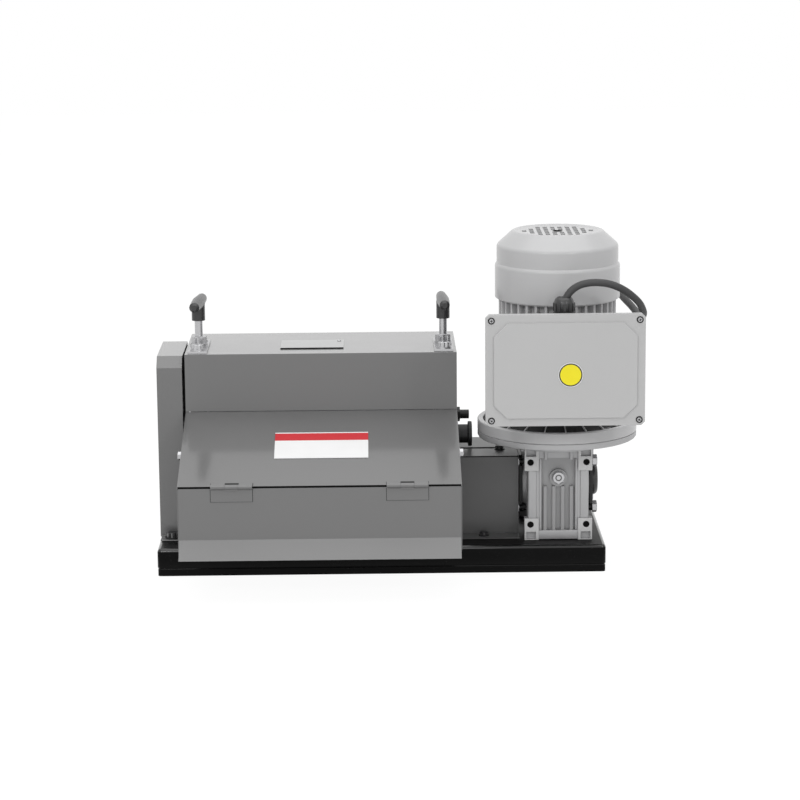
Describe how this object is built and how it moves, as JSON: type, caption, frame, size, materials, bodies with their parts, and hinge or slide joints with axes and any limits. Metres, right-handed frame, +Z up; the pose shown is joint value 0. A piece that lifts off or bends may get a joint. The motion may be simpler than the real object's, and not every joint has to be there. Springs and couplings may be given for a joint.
{
  "type": "wire stripping machine",
  "caption": "Motor-driven bench wire stripping machine with a guarded roller head, blade adjusting screws, a worm reducer and an upright motor with a control box, on a flat base.",
  "frame": {"origin": "centre of the base's underside", "axes": "+X to the right along the shafts, +Y to the back where the cable is fed in, +Z up"},
  "size_m": [0.6076, 0.4433, 0.4247],
  "materials": {
    "black_paint": "gloss black",
    "grey_paint": "semi-gloss mid grey",
    "dark_grey_paint": "semi-gloss dark grey",
    "motor_paint": "satin light silver grey",
    "cast_alloy": "fine cast",
    "steel": "turned and ground",
    "zinc": "bright zinc plated",
    "black_oxide": "black oxide",
    "black_plastic": "satin black",
    "box_plastic": "light grey, satin",
    "bronze": "cast bronze",
    "white_vinyl": "blank white plate with a red stripe",
    "bare_plate": "blank grey plate",
    "yellow_vinyl": "blank yellow disc",
    "lead_rubber": "dark grey sheath"
  },
  "bodies": {
    "frame": {"base_pan": "black_paint", "left_side_plate": "grey_paint", "right_side_plate": "grey_paint", "upper_tie_rod": "black_oxide", "front_tie_rod": "black_oxide", "rear_tie_rod": "black_oxide", "feed_plate": "steel", "outlet_bar": "steel", "left_feed_bearing": "steel", "right_feed_bearing": "steel", "left_cap_bar": "zinc", "right_cap_bar": "zinc", "head_cover": "grey_paint", "cover_plate": "bare_plate", "gear_case": "grey_paint", "front_guard": "grey_paint", "left_guard_arm": "steel", "right_guard_arm": "steel", "guard_label": "white_vinyl", "coupling_cover_front": "dark_grey_paint", "coupling_cover_rear": "dark_grey_paint", "reducer_housing": "cast_alloy", "reducer_left_cover": "black_oxide", "reducer_right_cover": "black_oxide", "shaft_end_cap": "black_plastic", "oil_plug": "zinc", "input_flange": "cast_alloy", "motor_flange": "motor_paint", "motor_housing": "motor_paint", "fan_cowl": "motor_paint", "control_box": "box_plastic", "control_lid": "box_plastic", "lid_sticker": "yellow_vinyl", "box_gland": "black_plastic", "motor_gland": "black_plastic", "motor_lead": "lead_rubber"},
    "flap": {"guard_flap": "grey_paint"},
    "feed": {"feed_shaft": "steel", "feed_rollers": "steel", "feed_gear": "steel", "shaft_coupling": "black_oxide", "output_shaft": "steel", "worm_wheel": "bronze"},
    "carriage": {"left_bearing_block": "cast_alloy", "right_bearing_block": "cast_alloy", "left_cutter_bearing": "steel", "right_cutter_bearing": "steel"},
    "cutter": {"cutter_shaft": "steel", "cutter_blades": "steel", "cutter_gear": "steel", "cutter_shaft_collar": "black_oxide"},
    "left_adjuster": {"left_screw": "zinc", "left_handle": "black_plastic"},
    "right_adjuster": {"right_screw": "zinc", "right_handle": "black_plastic"},
    "rotor_set": {"rotor": "steel", "worm": "steel", "cooling_fan": "black_plastic"}
  },
  "joints": [
    {"name": "motor_spin", "type": "hinge", "parent": "frame", "child": "rotor_set", "pos_m": [0.2224, -0.092, 0.2], "axis": [0, 0, 1], "continuous": true},
    {"name": "feed_spin", "type": "hinge", "parent": "frame", "child": "feed", "pos_m": [0, -0.042, 0.0953], "axis": [1, 0, 0], "continuous": true},
    {"name": "left_screw_turn", "type": "hinge", "parent": "carriage", "child": "left_adjuster", "pos_m": [-0.2291, -0.042, 0.25], "axis": [0, 0, 1], "range_deg": [0, 1080]},
    {"name": "right_screw_turn", "type": "hinge", "parent": "carriage", "child": "right_adjuster", "pos_m": [0.0809, -0.042, 0.25], "axis": [0, 0, 1], "range_deg": [0, 1080]},
    {"name": "carriage_lift", "type": "slide", "parent": "frame", "child": "carriage", "axis": [0, 0, 1], "range_m": [0, 0.0045]},
    {"name": "cutter_spin", "type": "hinge", "parent": "carriage", "child": "cutter", "pos_m": [0, -0.042, 0.1553], "axis": [1, 0, 0], "continuous": true},
    {"name": "flap_swing", "type": "hinge", "parent": "frame", "child": "flap", "pos_m": [-0.0741, -0.276, 0.1433], "axis": [-1, 0, 0], "range_deg": [0, 110]}
  ],
  "couplings": [
    {"joint": "feed_spin", "follows": "motor_spin", "ratio": 0.04},
    {"joint": "cutter_spin", "follows": "motor_spin", "ratio": -0.04},
    {"joint": "left_screw_turn", "follows": "carriage_lift", "rad_per_m": 4188.8},
    {"joint": "right_screw_turn", "follows": "carriage_lift", "rad_per_m": 4188.8}
  ]
}
